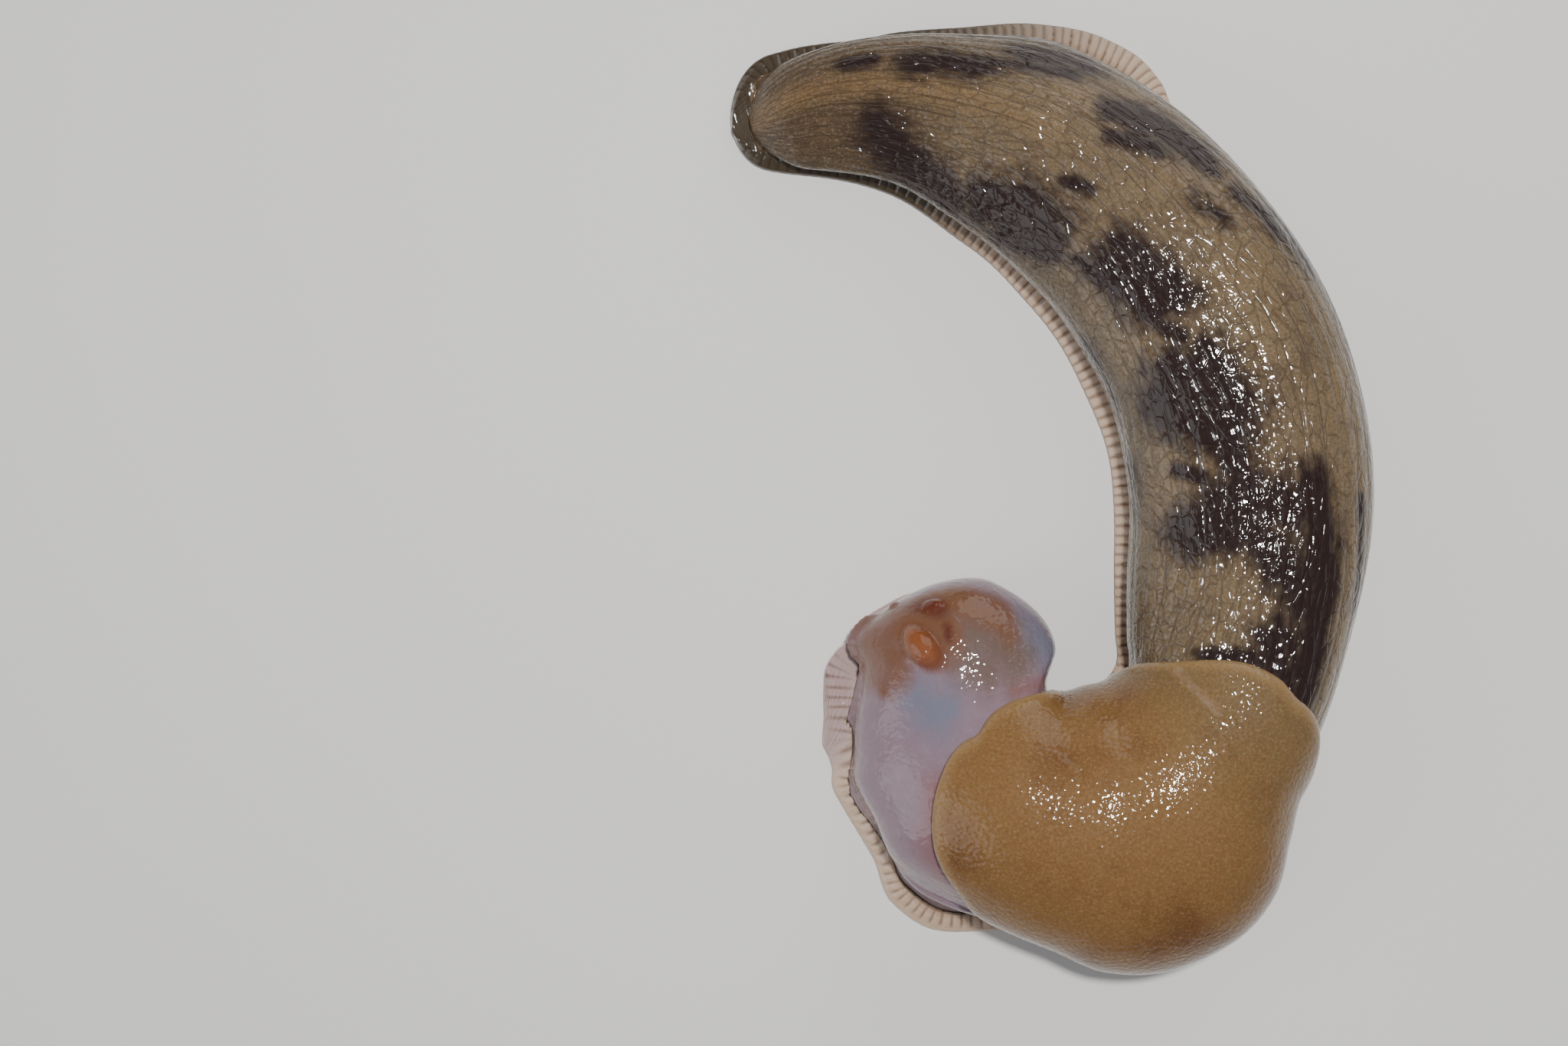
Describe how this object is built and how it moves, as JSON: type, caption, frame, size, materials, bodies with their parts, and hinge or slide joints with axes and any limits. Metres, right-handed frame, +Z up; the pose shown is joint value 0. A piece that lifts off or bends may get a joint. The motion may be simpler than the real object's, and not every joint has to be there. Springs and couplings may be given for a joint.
{
  "type": "banana slug",
  "caption": "Life-size banana slug curled on its foot, with humped mantle, keeled tail, ribbed foot fringe and drawn-in tentacles.",
  "frame": {"origin": "centre of the bounding box on the floor that the sole rests on", "axes": "+Z up, +Y from the mantle towards the arched back and tail, +X towards the outer side of the curl"},
  "size_m": [0.0753, 0.113, 0.0235],
  "materials": {
    "body_skin": "wet, glossy, olive tan with dark blotches",
    "head_skin": "wet, glossy, pale mauve grey",
    "foot_skin": "wet, satin, cream with brown cross lines",
    "mantle_skin": "wet, glossy, golden ochre",
    "tentacle_skin": "wet, glossy, orange brown"
  },
  "bodies": {
    "root": {"tail": "body_skin", "body_rear": "body_skin", "body_middle": "body_skin", "body_front": "body_skin", "hump_rear": "body_skin", "hump_front": "body_skin", "neck": "head_skin", "head": "head_skin", "foot_tail": "foot_skin", "foot_rear": "foot_skin", "foot_middle": "foot_skin", "foot_front": "foot_skin", "foot_hump_rear": "foot_skin", "foot_hump_front": "foot_skin", "foot_head": "foot_skin", "mantle": "mantle_skin", "tentacle_upper_left": "tentacle_skin", "tentacle_upper_right": "tentacle_skin", "tentacle_lower_left": "tentacle_skin", "tentacle_lower_right": "tentacle_skin"}
  },
  "joints": []
}
